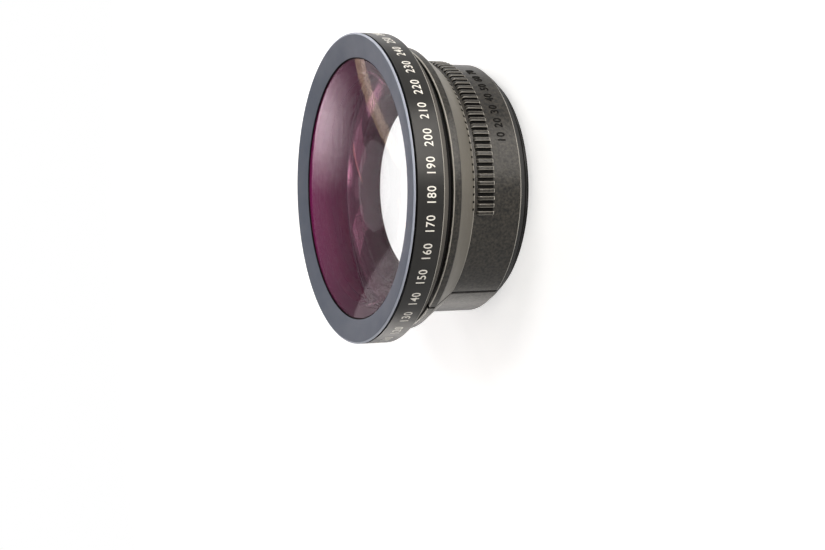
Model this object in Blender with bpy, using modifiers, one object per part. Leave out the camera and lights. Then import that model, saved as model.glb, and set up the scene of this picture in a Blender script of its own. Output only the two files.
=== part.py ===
"""Wide-angle conversion lens with a split, ribbed grip cover and a 58 mm mount thread.

The lens stands on the end face of its mount thread, with the optical axis along +Z and
the front glass on top. The origin is the centre of that end face. A depth in this script
is measured from the front ring's face towards the mount, so a depth of 0 is the face.
"""

import math

import bmesh
import bpy
from mathutils import Matrix

MM = 0.001

# Clearance between pieces that seat on each other
GAP = 0.3 * MM

# Mount ring: the thread that goes into the camera's filter thread, and its flange
MOUNT_THREAD_DIAMETER = 58.0 * MM
MOUNT_THREAD_LENGTH = 1.9 * MM
MOUNT_THREAD_CHAMFER = 0.3 * MM
MOUNT_THREAD_WALL = 2.4 * MM
MOUNT_FLANGE_LIP = 1.4 * MM
MOUNT_FLANGE_THICKNESS = 1.2 * MM
SPIGOT_WALL = 1.0 * MM
SPIGOT_LENGTH = 2.3 * MM

# Rear cell and its two elements, a negative and a positive one
CELL_WALL = 1.0 * MM
CELL_LIP = 0.8 * MM
CELL_MOUTH_WALL = 0.9 * MM
CELL_REAR_RECESS = 2.0 * MM
REAR_FRONT_CURVE = 85.0 * MM
REAR_JOINT_CURVE = 70.0 * MM
REAR_BACK_CURVE = 300.0 * MM
NEGATIVE_CENTRE = 1.6 * MM
POSITIVE_EDGE = 0.6 * MM
RETAINER_THICKNESS = 1.0 * MM
RETAINER_WIDTH = 1.0 * MM
RETAINER_RECESS = 0.2 * MM
SLOT_WIDTH = 1.4 * MM
SLOT_DEPTH = 0.5 * MM
SHIM_THICKNESS = 0.4 * MM

# Main barrel
BARREL_WALL = 1.8 * MM
FRONT_BORE_DEPTH = 3.5 * MM
FRONT_BORE_WALL = 3.1 * MM
SHOULDER_TAPER = 1.0 * MM
SHOULDER_THICKNESS = 0.6 * MM
SHOULDER_OVERLAP = 0.8 * MM
BAFFLE_GROOVES = 3
BAFFLE_DEPTH = 0.5 * MM

# Grip cover, moulded in two halves
COVER_WALL = 1.6 * MM
COVER_LENGTH = 20.2 * MM
COVER_FLANGE_WALL = 1.4 * MM
COVER_FLANGE_LENGTH = 2.2 * MM
COVER_CONE_LENGTH = 5.3 * MM
COVER_EDGE = 0.3 * MM
SEAM_WIDTH = 0.45 * MM
SEAM_ANGLE = math.radians(-57.0)

# Ribs on the cover
RIB_PITCH = math.radians(3.2)
RIBS_PER_HALF = 35
RIB_WIDTH = 1.1 * MM
RIB_HEIGHT = 0.8 * MM
RIB_LENGTH = 4.4 * MM
RIB_SETBACK = 0.7 * MM
RIB_ROOT = 0.6 * MM
RIB_ZONE_OFFSET = math.radians(98.0)

# Front ring: bezel and name ring
FRONT_DIAMETER = 77.8 * MM
FACE_WIDTH = 6.1 * MM
FACE_DEPTH = 1.2 * MM
FACE_BEVEL = 0.5 * MM
FACE_BEVEL_DEPTH = 0.3 * MM
BEZEL_RIM = 0.12 * MM
BEZEL_SEAT_WIDTH = 1.2 * MM
BEZEL_SEAT_DEPTH = 0.9 * MM
BEZEL_BODY = 1.0 * MM
BEZEL_SKIRT_STEP = 0.8 * MM
BEZEL_SKIRT_LENGTH = 2.0 * MM
BEZEL_LIP = 0.55 * MM
HEAD_WALL = 1.1 * MM
GROOVE_DEPTH = 2.1 * MM
GROOVE_WIDTH = 1.9 * MM
STEP_LENGTH = 1.8 * MM
BAND_CHAMFER = 0.25 * MM
NECK_OVERLAP = 0.7 * MM
SEAT_THICKNESS = 0.9 * MM
SEAT_WIDTH = 4.7 * MM
SKIRT_WALL = 1.4 * MM
SKIRT_LENGTH = 1.7 * MM
THREAD_INSET = 1.6 * MM

# Front element, a meniscus
GLASS_HELD = 0.8 * MM
GLASS_BEVEL = 0.3 * MM
FRONT_CURVE = 180.0 * MM
FRONT_INNER_CURVE = 60.0 * MM
FRONT_CENTRE = 3.2 * MM
FRONT_RIM_WIDTH = 5.0 * MM
GASKET_THICKNESS = 0.6 * MM
GASKET_WIDTH = 3.4 * MM
MASK_THICKNESS = 0.3 * MM
MASK_WIDTH = 3.6 * MM

# Fasteners
COVER_SCREW_RADIUS = 0.6 * MM
COVER_SCREW_HEAD_RADIUS = 1.0 * MM
COVER_SCREW_HEAD = 0.6 * MM
COVER_SCREW_SETBACK = 5.3 * MM
COVER_SCREW_SPREAD = math.radians(45.0)
COVER_SKIN = 0.5 * MM
HEADROOM = 0.15 * MM
SET_SCREW_RADIUS = 0.5 * MM
SET_SCREW_COUNT = 3
SET_SCREW_CLEARANCE = 0.2 * MM

# Facets of a turned piece, and points on a lens surface
STEPS = 60
INNER_STEPS = 32
FASTENER_STEPS = 12
LENS_POINTS = 4
ARC_POINTS = 2


def sag(curve, radius):
    """How far a spherical surface falls back at this radius."""
    return curve - math.sqrt(curve**2 - radius**2)


# Radii of the mount side, from the thread inwards
thread_radius = MOUNT_THREAD_DIAMETER / 2
mount_bore = thread_radius - MOUNT_THREAD_WALL
cell_radius = mount_bore - GAP
cell_bore = cell_radius - CELL_WALL
rear_glass_radius = cell_bore - GAP
cell_lip_radius = rear_glass_radius - CELL_LIP
cell_mouth = cell_radius - CELL_MOUTH_WALL
retainer_bore = rear_glass_radius - RETAINER_WIDTH

# Radii of the mount side, from the thread outwards
flange_radius = thread_radius + MOUNT_FLANGE_LIP
barrel_bore = mount_bore
spigot_radius = mount_bore + SPIGOT_WALL
barrel_counterbore = spigot_radius + GAP
barrel_radius = barrel_counterbore + BARREL_WALL
cover_bore = barrel_radius + GAP
cover_radius = cover_bore + COVER_WALL

# Radii of the front, from the ring inwards
front_radius = FRONT_DIAMETER / 2
opening_radius = front_radius - FACE_WIDTH
glass_radius = opening_radius + GLASS_HELD
pocket_radius = glass_radius + GAP
bezel_radius = front_radius - BEZEL_SEAT_WIDTH
skirt_radius = bezel_radius - BEZEL_SKIRT_STEP
neck_radius = pocket_radius + HEAD_WALL
step_radius = neck_radius + GROOVE_DEPTH
seat_radius = pocket_radius - SEAT_WIDTH
head_thread_radius = pocket_radius - THREAD_INSET
head_skirt_bore = head_thread_radius + GAP
head_skirt_radius = head_skirt_bore + SKIRT_WALL
cover_flange_bore = head_skirt_radius + GAP
cover_flange_radius = cover_flange_bore + COVER_FLANGE_WALL
front_rim_radius = glass_radius - FRONT_RIM_WIDTH
front_bore = head_thread_radius - FRONT_BORE_WALL

# Depths of the bezel and the front element
lip_depth = FACE_DEPTH + BEZEL_LIP
glass_edge_depth = lip_depth + GAP
bevel_radius = glass_radius - GLASS_BEVEL
front_vertex = glass_edge_depth - sag(FRONT_CURVE, bevel_radius)
inner_vertex = front_vertex + FRONT_CENTRE
rim_depth = inner_vertex + sag(FRONT_INNER_CURVE, front_rim_radius)
bezel_rim_depth = FACE_BEVEL_DEPTH + BEZEL_RIM
bezel_cone_depth = bezel_rim_depth + BEZEL_SEAT_DEPTH
bezel_step_depth = bezel_cone_depth + BEZEL_BODY
bezel_end_depth = bezel_step_depth + BEZEL_SKIRT_LENGTH

# Depths of the name ring and of what it clamps
gasket_depth = rim_depth + GAP
seat_depth = gasket_depth + GASKET_THICKNESS + GAP
neck_end = seat_depth + NECK_OVERLAP
seat_end = seat_depth + SEAT_THICKNESS
skirt_end = seat_end + SKIRT_LENGTH
mask_depth = seat_end + GAP
barrel_front = mask_depth + MASK_THICKNESS + GAP
cover_front = neck_end + GAP
groove_front = cover_front - GROOVE_WIDTH
step_front = groove_front - STEP_LENGTH
band_front = bezel_rim_depth + GAP

# Depths of the cover and the mount ring
flange_end = cover_front + COVER_FLANGE_LENGTH
cone_end = flange_end + COVER_CONE_LENGTH
cover_end = cover_front + COVER_LENGTH
mount_flange_front = cover_end + GAP
mount_flange_end = mount_flange_front + MOUNT_FLANGE_THICKNESS
total_length = mount_flange_end + MOUNT_THREAD_LENGTH
spigot_front = mount_flange_front - SPIGOT_LENGTH

# Depths inside the barrel
bore_end = barrel_front + FRONT_BORE_DEPTH
taper_end = bore_end + SHOULDER_TAPER
shoulder_end = taper_end + SHOULDER_THICKNESS
shim_depth = shoulder_end + GAP
cell_front = shim_depth + SHIM_THICKNESS + GAP
shoulder_radius = cell_radius - SHOULDER_OVERLAP
cell_end = total_length - CELL_REAR_RECESS
retainer_end = cell_end - RETAINER_RECESS
retainer_front = retainer_end - RETAINER_THICKNESS
rear_bevel_radius = rear_glass_radius - GLASS_BEVEL
positive_back_edge = retainer_front - GAP
rear_vertex = positive_back_edge + sag(REAR_BACK_CURVE, rear_bevel_radius)
positive_front_edge = positive_back_edge - POSITIVE_EDGE
positive_vertex = positive_front_edge - sag(REAR_JOINT_CURVE, rear_bevel_radius)
joint_vertex = positive_vertex - GAP
joint_edge = positive_front_edge - GAP
group_vertex = joint_vertex - NEGATIVE_CENTRE
group_edge = group_vertex + sag(REAR_FRONT_CURVE, rear_bevel_radius)
cell_lip_depth = group_edge - GAP
screw_depth = cover_end - COVER_SCREW_SETBACK


def clear_scene():
    for obj in list(bpy.data.objects):
        bpy.data.objects.remove(obj, do_unlink=True)


def new_collection(name):
    collection = bpy.data.collections.new(name)
    bpy.context.scene.collection.children.link(collection)
    return collection


def linear(value):
    """A screen colour value from 0 to 255 as scene-linear light."""
    share = value / 255
    return share / 12.92 if share <= 0.04045 else ((share + 0.055) / 1.055) ** 2.4


def new_material(name, screen_colour, roughness, metallic=0.0, transmission=0.0, ior=1.5):
    material = bpy.data.materials.new(name)
    material.use_nodes = True
    shader = material.node_tree.nodes["Principled BSDF"]
    colour = (*(linear(value) for value in screen_colour), 1.0)
    shader.inputs["Base Color"].default_value = colour
    shader.inputs["Roughness"].default_value = roughness
    shader.inputs["Metallic"].default_value = metallic
    shader.inputs["Transmission Weight"].default_value = transmission
    shader.inputs["IOR"].default_value = ior
    material.diffuse_color = colour
    return material


def at(radius, depth):
    """A profile point at this radius and at this depth behind the front ring's face."""
    return (radius, 0.0, total_length - depth)


def lens_arc(curve, vertex_depth, inner, outer, points=LENS_POINTS):
    """Profile points on a spherical surface that is convex to the front, axis side first."""
    radii = [inner + (outer - inner) * step / points for step in range(points + 1)]
    return [at(radius, vertex_depth + sag(curve, radius)) for radius in radii]


def back_arc(curve, vertex_depth, outer, points=LENS_POINTS):
    """Profile points on a surface that is convex to the mount, edge side first."""
    radii = [outer * (points - step) / points for step in range(points + 1)]
    return [at(radius, vertex_depth - sag(curve, radius)) for radius in radii]


def new_object(name, mesh, collection, material=None):
    obj = bpy.data.objects.new(name, mesh)
    collection.objects.link(obj)
    if material:
        mesh.materials.append(material)
    return obj


def turned(name, profile, collection, material=None, steps=STEPS, closed=True):
    """A profile at +X, outer side top to bottom, swept round Z by a Screw modifier."""
    count = len(profile)
    edges = [(index, index + 1) for index in range(count - 1)]
    if closed:
        edges.append((count - 1, 0))
    mesh = bpy.data.meshes.new(name)
    mesh.from_pydata(profile, edges, [])
    obj = new_object(name, mesh, collection, material)
    screw = obj.modifiers.new("turn", "SCREW")
    screw.axis = "Z"
    screw.angle = math.tau
    screw.steps = steps
    screw.render_steps = steps
    screw.use_merge_vertices = True
    screw.merge_threshold = 0.01 * MM
    return obj


def boolean(obj, other, operation):
    modifier = obj.modifiers.new(operation.lower(), "BOOLEAN")
    modifier.operation = operation
    modifier.solver = "EXACT"
    modifier.object = other


def as_cutter(obj):
    obj.hide_render = True
    obj.display_type = "WIRE"
    return obj


def baked(obj):
    """The object with its modifiers made into its mesh, shaded smooth between sharp edges."""
    bpy.context.view_layer.update()
    graph = bpy.context.evaluated_depsgraph_get()
    mesh = bpy.data.meshes.new_from_object(obj.evaluated_get(graph))
    obj.modifiers.clear()
    obj.data = mesh
    mesh.shade_smooth()
    mesh.set_sharp_from_angle(angle=math.radians(25.0))
    return obj


def radial(obj, angle, radius, depth):
    """Turns an object so that its +Z points outwards at this angle round the lens."""
    turn = Matrix.Rotation(angle, 4, "Z") @ Matrix.Rotation(math.pi / 2, 4, "Y")
    place = (radius * math.cos(angle), radius * math.sin(angle), total_length - depth)
    obj.matrix_world = Matrix.Translation(place) @ turn
    return obj


def cylinder(name, radius, height, collection, steps=FASTENER_STEPS):
    """A cylinder that stands on its origin."""
    mesh = bpy.data.meshes.new(name)
    shape = bmesh.new()
    lift = Matrix.Translation((0.0, 0.0, height / 2))
    bmesh.ops.create_cone(
        shape, cap_ends=True, segments=steps, radius1=radius, radius2=radius, depth=height, matrix=lift
    )
    shape.to_mesh(mesh)
    shape.free()
    return new_object(name, mesh, collection)


def box(name, size, centre, collection):
    mesh = bpy.data.meshes.new(name)
    shape = bmesh.new()
    bmesh.ops.create_cube(shape, size=1.0)
    bmesh.ops.scale(shape, vec=size, verts=shape.verts)
    bmesh.ops.translate(shape, vec=centre, verts=shape.verts)
    shape.to_mesh(mesh)
    shape.free()
    return new_object(name, mesh, collection)


def make_bezel(parts, paint):
    """The screwed ring whose cone is the front face and whose lip holds the glass."""
    face_edge = front_radius - FACE_BEVEL
    profile = [
        at(face_edge, 0.0),
        at(front_radius, FACE_BEVEL_DEPTH),
        at(front_radius, bezel_rim_depth),
        at(bezel_radius, bezel_cone_depth),
        at(bezel_radius, bezel_step_depth),
        at(skirt_radius, bezel_step_depth),
        at(skirt_radius, bezel_end_depth),
        at(pocket_radius, bezel_end_depth),
        at(pocket_radius, lip_depth),
        at(opening_radius, lip_depth),
        at(opening_radius, FACE_DEPTH),
    ]
    return baked(turned("front_bezel", profile, parts, paint))


def set_screw_angles():
    return [math.radians(-30.0) + math.tau * step / SET_SCREW_COUNT for step in range(SET_SCREW_COUNT)]


def make_name_ring(parts, cutters, paint):
    """The lens head: band, step, dark groove, glass pocket and the skirt on the barrel."""
    profile = [
        at(front_radius, band_front),
        at(front_radius, step_front - BAND_CHAMFER),
        at(front_radius - BAND_CHAMFER, step_front),
        at(step_radius, step_front),
        at(step_radius, groove_front - BAND_CHAMFER),
        at(step_radius - BAND_CHAMFER, groove_front),
        at(neck_radius, groove_front),
        at(neck_radius, neck_end),
        at(head_skirt_radius, neck_end),
        at(head_skirt_radius, skirt_end),
        at(head_skirt_bore, skirt_end),
        at(head_skirt_bore, seat_end),
        at(seat_radius, seat_end),
        at(seat_radius, seat_depth),
        at(pocket_radius, seat_depth),
        at(pocket_radius, bezel_end_depth + GAP),
        at(skirt_radius + GAP, bezel_end_depth + GAP),
        at(skirt_radius + GAP, bezel_step_depth + GAP),
        at(bezel_radius + GAP, bezel_step_depth + GAP),
        at(bezel_radius + GAP, bezel_cone_depth + GAP),
    ]
    ring = turned("name_ring", profile, parts, paint)
    hole_radius = SET_SCREW_RADIUS + SET_SCREW_CLEARANCE
    hole_start = head_skirt_bore - SKIRT_WALL / 2
    for number, angle in enumerate(set_screw_angles(), 1):
        hole = cylinder(f"set_screw_hole_{number}", hole_radius, 2 * SKIRT_WALL, cutters)
        radial(as_cutter(hole), angle, hole_start, (seat_end + skirt_end) / 2)
        boolean(ring, hole, "DIFFERENCE")
    return baked(ring)


def make_set_screws(parts, steel):
    """Grub screws that lock the name ring on the barrel, under the cover's flange."""
    length = head_skirt_radius - head_thread_radius - GAP
    for number, angle in enumerate(set_screw_angles(), 1):
        profile = [(SET_SCREW_RADIUS, 0.0, length), (SET_SCREW_RADIUS, 0.0, 0.0)]
        profile = [(0.0, 0.0, length), *profile, (0.0, 0.0, 0.0)]
        screw = turned(f"set_screw_{number}", profile, parts, steel, FASTENER_STEPS, closed=False)
        baked(radial(screw, angle, head_thread_radius + GAP, (seat_end + skirt_end) / 2))


def make_front_element(parts, glass):
    """A meniscus that bulges past the ring, with a hollow back and a flat rim."""
    front = lens_arc(FRONT_CURVE, front_vertex, 0.0, bevel_radius)
    back = lens_arc(FRONT_INNER_CURVE, inner_vertex, 0.0, front_rim_radius)
    edge = [
        at(glass_radius, glass_edge_depth + GLASS_BEVEL),
        at(glass_radius, rim_depth - GLASS_BEVEL),
        at(bevel_radius, rim_depth),
    ]
    profile = [*front, *edge, *reversed(back)]
    return baked(turned("front_element", profile, parts, glass, INNER_STEPS, closed=False))


def make_flat_ring(name, outer, inner, depth, thickness, parts, material):
    profile = [
        at(outer, depth),
        at(outer, depth + thickness),
        at(inner, depth + thickness),
        at(inner, depth),
    ]
    return baked(turned(name, profile, parts, material, INNER_STEPS))


def baffle_profile():
    """Saw-tooth steps in the front bore, which catch stray light, rear end first."""
    pitch = FRONT_BORE_DEPTH / (BAFFLE_GROOVES + 1)
    points = []
    for groove in range(BAFFLE_GROOVES, 0, -1):
        depth = barrel_front + pitch * groove
        points.append(at(front_bore, depth))
        points.append(at(front_bore + BAFFLE_DEPTH, depth))
    return points


def cover_screw_angles():
    middle = SEAM_ANGLE + math.pi / 2
    pair = (middle - COVER_SCREW_SPREAD, middle + COVER_SCREW_SPREAD)
    return [*pair, pair[0] + math.pi, pair[1] + math.pi]


def make_main_barrel(parts, cutters, paint):
    """The tube that everything screws into, with its front thread and its inner shoulder."""
    profile = [
        at(head_thread_radius, barrel_front),
        at(head_thread_radius, skirt_end + GAP),
        at(barrel_radius, cone_end),
        at(barrel_radius, cover_end),
        at(barrel_counterbore, cover_end),
        at(barrel_counterbore, spigot_front - GAP),
        at(barrel_bore, spigot_front - GAP),
        at(barrel_bore, shoulder_end),
        at(shoulder_radius, shoulder_end),
        at(shoulder_radius, taper_end),
        at(front_bore, bore_end),
        *baffle_profile(),
        at(front_bore, barrel_front),
    ]
    barrel = turned("main_barrel", profile, parts, paint, INNER_STEPS)
    shank_hole = COVER_SCREW_RADIUS + GAP
    head_hole = COVER_SCREW_HEAD_RADIUS + GAP
    seat = barrel_bore + HEADROOM + COVER_SCREW_HEAD + GAP
    for number, angle in enumerate(cover_screw_angles(), 1):
        wide = cylinder(f"head_hole_{number}", head_hole, 2 * COVER_SCREW_HEAD, cutters)
        radial(as_cutter(wide), angle, seat - 2 * COVER_SCREW_HEAD, screw_depth)
        boolean(barrel, wide, "DIFFERENCE")
        narrow = cylinder(f"shank_hole_{number}", shank_hole, 2 * BARREL_WALL + SPIGOT_WALL, cutters)
        radial(as_cutter(narrow), angle, barrel_bore, screw_depth)
        boolean(barrel, narrow, "DIFFERENCE")
    return baked(barrel)


def make_cover_screws(parts, steel):
    """Screws from inside the barrel into each cover half, fitted before the rear cell."""
    head_base = barrel_bore + HEADROOM
    length = cover_radius - COVER_SKIN - GAP - head_base
    for number, angle in enumerate(cover_screw_angles(), 1):
        profile = [
            (0.0, 0.0, length),
            (COVER_SCREW_RADIUS, 0.0, length),
            (COVER_SCREW_RADIUS, 0.0, COVER_SCREW_HEAD),
            (COVER_SCREW_HEAD_RADIUS, 0.0, COVER_SCREW_HEAD),
            (COVER_SCREW_HEAD_RADIUS, 0.0, 0.0),
            (0.0, 0.0, 0.0),
        ]
        screw = turned(f"cover_screw_{number}", profile, parts, steel, FASTENER_STEPS, closed=False)
        baked(radial(screw, angle, head_base, screw_depth))


def rib_outline():
    """A rib seen from the side: x is the way to the mount, y is up from the cover."""
    points = [(0.0, -RIB_ROOT)]
    for step in range(ARC_POINTS + 1):
        turn = math.pi / 2 * step / ARC_POINTS
        points.append((RIB_HEIGHT * (1 - math.cos(turn)), RIB_HEIGHT * math.sin(turn)))
    points.append((RIB_LENGTH - RIB_HEIGHT / 2, RIB_HEIGHT))
    points.append((RIB_LENGTH, RIB_HEIGHT / 2))
    points.append((RIB_LENGTH, -RIB_ROOT))
    return points


def rib_mesh():
    """One rib as a filled outline with half its width extruded to each side."""
    curve = bpy.data.curves.new("rib_outline", "CURVE")
    curve.dimensions = "2D"
    curve.fill_mode = "BOTH"
    curve.extrude = RIB_WIDTH / 2
    spline = curve.splines.new("POLY")
    outline = rib_outline()
    spline.points.add(len(outline) - 1)
    for point, (x, y) in zip(spline.points, outline):
        point.co = (x, y, 0.0, 1.0)
    spline.use_cyclic_u = True
    holder = bpy.data.objects.new("rib_outline", curve)
    bpy.context.scene.collection.objects.link(holder)
    bpy.context.view_layer.update()
    graph = bpy.context.evaluated_depsgraph_get()
    mesh = bpy.data.meshes.new_from_object(holder.evaluated_get(graph))
    bpy.data.objects.remove(holder, do_unlink=True)
    shape = bmesh.new()
    shape.from_mesh(mesh)
    bmesh.ops.remove_doubles(shape, verts=shape.verts, dist=0.001 * MM)
    bmesh.ops.recalc_face_normals(shape, faces=shape.faces)
    shape.to_mesh(mesh)
    shape.free()
    return mesh


def make_ribs(name, first_angle, direction, cutters):
    """The ribs of one half as one helper, which a union joins to the cover."""
    one = rib_mesh()
    shape = bmesh.new()
    start = total_length - cone_end - RIB_SETBACK
    for count in range(RIBS_PER_HALF):
        angle = first_angle + direction * RIB_PITCH * count
        # The outline's x turns to point down the axis, and its y to point outwards.
        lay = Matrix(((0, 1, 0, 0), (0, 0, -1, 0), (-1, 0, 0, 0), (0, 0, 0, 1)))
        place = Matrix.Rotation(angle, 4, "Z") @ Matrix.Translation((cover_radius, 0.0, start)) @ lay
        single = one.copy()
        single.transform(place)
        shape.from_mesh(single)
        bpy.data.meshes.remove(single)
    mesh = bpy.data.meshes.new(name)
    shape.to_mesh(mesh)
    shape.free()
    return as_cutter(new_object(name, mesh, cutters))


def make_cover_half(name, side, parts, cutters, paint):
    """Half of the moulded cover: flange, cone and ribbed cylinder, cut at the seam."""
    profile = [
        at(cover_flange_radius - COVER_EDGE, cover_front),
        at(cover_flange_radius, cover_front + COVER_EDGE),
        at(cover_flange_radius, flange_end - COVER_EDGE),
        at(cover_flange_radius - COVER_EDGE, flange_end),
        at(cover_radius + COVER_EDGE, cone_end - COVER_EDGE),
        at(cover_radius, cone_end),
        at(cover_radius, cover_end - COVER_EDGE),
        at(cover_radius - COVER_EDGE, cover_end),
        at(cover_bore, cover_end),
        at(cover_bore, cone_end + GAP),
        at(cover_flange_bore, flange_end),
        at(cover_flange_bore, cover_front),
    ]
    cover = turned(name, profile, parts, paint)
    # The keeper is a block on one side of the seam plane, half a seam away from it.
    reach = 3 * cover_flange_radius
    keeper = box(f"{name}_keeper", (reach, reach, reach), (0.0, (reach + SEAM_WIDTH) / 2, 0.0), cutters)
    keeper.matrix_world = Matrix.Rotation(SEAM_ANGLE if side > 0 else SEAM_ANGLE + math.pi, 4, "Z")
    boolean(cover, as_cutter(keeper), "INTERSECT")
    zone_middle = SEAM_ANGLE + side * RIB_ZONE_OFFSET
    first = zone_middle - side * RIB_PITCH * (RIBS_PER_HALF - 1) / 2
    boolean(cover, make_ribs(f"{name}_ribs", first, side, cutters), "UNION")
    hole_end = cover_radius - COVER_SKIN
    for number, angle in enumerate(cover_screw_angles(), 1):
        if (side > 0) != (number <= 2):
            continue
        hole = cylinder(f"{name}_hole_{number}", COVER_SCREW_RADIUS + GAP, 2 * COVER_WALL, cutters)
        radial(as_cutter(hole), angle, hole_end - 2 * COVER_WALL, screw_depth)
        boolean(cover, hole, "DIFFERENCE")
    return baked(cover)


def make_mount_ring(parts, paint):
    """The mount: a spigot in the barrel, a flange behind the cover and the camera thread."""
    profile = [
        at(spigot_radius, spigot_front),
        at(spigot_radius, mount_flange_front),
        at(flange_radius, mount_flange_front),
        at(flange_radius, mount_flange_end),
        at(thread_radius, mount_flange_end),
        at(thread_radius, total_length - MOUNT_THREAD_CHAMFER),
        at(thread_radius - MOUNT_THREAD_CHAMFER, total_length),
        at(mount_bore, total_length),
        at(mount_bore, spigot_front),
    ]
    return baked(turned("mount_ring", profile, parts, paint))


def make_rear_cell(parts, paint):
    """The cell of the rear elements, with a tapered mouth to the front."""
    profile = [
        at(cell_radius, cell_front),
        at(cell_radius, cell_end),
        at(cell_bore, cell_end),
        at(cell_bore, cell_lip_depth),
        at(cell_lip_radius, cell_lip_depth),
        at(cell_lip_radius, cell_lip_depth - CELL_LIP),
        at(cell_mouth, cell_front),
    ]
    return baked(turned("rear_cell", profile, parts, paint, INNER_STEPS))


def make_rear_elements(parts, glass):
    """The negative element in front and the positive one behind it."""
    front = lens_arc(REAR_FRONT_CURVE, group_vertex, 0.0, rear_bevel_radius)
    joint = lens_arc(REAR_JOINT_CURVE, joint_vertex, 0.0, rear_bevel_radius)
    profile = [
        *front,
        at(rear_glass_radius, group_edge + GLASS_BEVEL),
        at(rear_glass_radius, joint_edge - GLASS_BEVEL),
        *reversed(joint),
    ]
    baked(turned("rear_element_negative", profile, parts, glass, INNER_STEPS, closed=False))
    joint = lens_arc(REAR_JOINT_CURVE, positive_vertex, 0.0, rear_bevel_radius)
    back = back_arc(REAR_BACK_CURVE, rear_vertex, rear_bevel_radius)
    profile = [*joint, *back]
    baked(turned("rear_element_positive", profile, parts, glass, INNER_STEPS, closed=False))


def make_retainer(parts, cutters, paint):
    """The ring that holds the rear elements, with two slots for a spanner."""
    profile = [
        at(rear_glass_radius, retainer_front),
        at(rear_glass_radius, retainer_end),
        at(retainer_bore, retainer_end),
        at(retainer_bore, retainer_front),
    ]
    ring = turned("rear_retainer", profile, parts, paint, INNER_STEPS)
    size = (4 * rear_glass_radius, SLOT_WIDTH, 2 * SLOT_DEPTH)
    slot = box("spanner_slot", size, (0.0, 0.0, total_length - retainer_end), cutters)
    boolean(ring, as_cutter(slot), "DIFFERENCE")
    return baked(ring)


def main():
    clear_scene()
    parts = new_collection("wide_angle_conversion_lens")
    cutters = new_collection("cutters")
    cutters.hide_render = True
    bezel_paint = new_material("bezel_anodised", (96, 99, 107), 0.42, 0.6)
    ring_paint = new_material("ring_anodised", (46, 44, 42), 0.4, 0.4)
    cover_paint = new_material("cover_moulded", (58, 55, 52), 0.45)
    barrel_paint = new_material("barrel_anodised", (30, 30, 30), 0.55, 0.3)
    mount_paint = new_material("mount_anodised", (24, 24, 25), 0.4, 0.4)
    cell_paint = new_material("cell_blackened", (40, 37, 36), 0.5, 0.3)
    shim_metal = new_material("shim_steel", (120, 118, 114), 0.35, 1.0)
    screw_steel = new_material("screw_steel", (140, 140, 142), 0.3, 1.0)
    seal_rubber = new_material("seal_rubber", (20, 20, 20), 0.7)
    mask_film = new_material("mask_film", (14, 14, 14), 0.8)
    front_glass = new_material("front_glass", (205, 150, 180), 0.02, transmission=1.0, ior=1.55)
    rear_glass = new_material("rear_glass", (200, 210, 205), 0.02, transmission=1.0, ior=1.58)

    make_bezel(parts, bezel_paint)
    make_name_ring(parts, cutters, ring_paint)
    make_set_screws(parts, screw_steel)
    make_front_element(parts, front_glass)
    gasket_outer = glass_radius - GLASS_BEVEL
    gasket_inner = gasket_outer - GASKET_WIDTH
    make_flat_ring(
        "front_gasket", gasket_outer, gasket_inner, gasket_depth, GASKET_THICKNESS, parts, seal_rubber
    )
    mask_inner = head_thread_radius - MASK_WIDTH
    make_flat_ring(
        "light_mask", head_thread_radius, mask_inner, mask_depth, MASK_THICKNESS, parts, mask_film
    )
    make_main_barrel(parts, cutters, barrel_paint)
    make_flat_ring("cell_shim", cell_radius, shoulder_radius, shim_depth, SHIM_THICKNESS, parts, shim_metal)
    make_rear_cell(parts, cell_paint)
    make_rear_elements(parts, rear_glass)
    make_retainer(parts, cutters, cell_paint)
    make_mount_ring(parts, mount_paint)
    make_cover_half("grip_cover_upper", 1, parts, cutters, cover_paint)
    make_cover_half("grip_cover_lower", -1, parts, cutters, cover_paint)
    make_cover_screws(parts, screw_steel)


main()
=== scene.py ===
"""The looks of the wide-angle conversion lens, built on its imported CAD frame.

Lengths are in millimetres until a mesh is made. A profile is a list of (radius, depth)
pairs, and a depth is measured from the front ring's face towards the mount.
"""

import math

import bmesh
import bpy
from mathutils import Matrix, Vector


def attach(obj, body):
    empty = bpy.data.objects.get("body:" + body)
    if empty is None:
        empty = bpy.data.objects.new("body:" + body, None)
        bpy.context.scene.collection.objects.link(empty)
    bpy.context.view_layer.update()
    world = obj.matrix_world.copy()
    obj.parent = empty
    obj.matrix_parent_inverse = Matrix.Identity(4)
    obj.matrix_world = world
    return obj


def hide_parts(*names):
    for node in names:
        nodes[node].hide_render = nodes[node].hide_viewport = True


MM = 0.001
FACE_HEIGHT = 35.2
SEGMENTS = 240

SEAM_ANGLE = math.radians(-57.0)
SEAM_WIDTH = 0.8
RIB_PITCH = math.radians(3.2)
RIBS_PER_HALF = 35
RIB_ZONE_OFFSET = math.radians(98.0)
RIB_START = 19.8
COVER_RADIUS = 31.6
BAND_RADIUS = 38.9
# A little inside the band's radius, so that the numerals stay inside it.
BAND_WALL = BAND_RADIUS - 0.02

# The rear group: the radii of its curves, the radius of its clear glass and the depth of its back edge.
REAR_FRONT_CURVE = 85.0
REAR_MIDDLE_CURVE = 70.0
REAR_BACK_CURVE = 300.0
REAR_CLEAR = 24.7
REAR_DEPTH = 31.7

# The widths and outer sides of the painted-shade strips in the gaps between the ribs and in the notches at
# the cone's foot.
GAP_WIDTH = 0.8
GAP_SIDE = [(COVER_RADIUS + 0.03, RIB_START + 0.1), (COVER_RADIUS + 0.03, RIB_START + 4.3)]
NOTCH_WIDTH = 0.55
NOTCH_SIDE = [(32.35, 18.25), (31.93, 18.87)]

# The outer side of the painted shadow at the seams' bottom.
SEAM_SIDE = [
    (35.0, 11.75),
    (35.55, 11.85),
    (35.6, 13.5),
    (35.4, 13.65),
    (31.75, 18.8),
    (31.5, 19.1),
    (31.5, 31.6),
    (30.3, 31.65),
]
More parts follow.
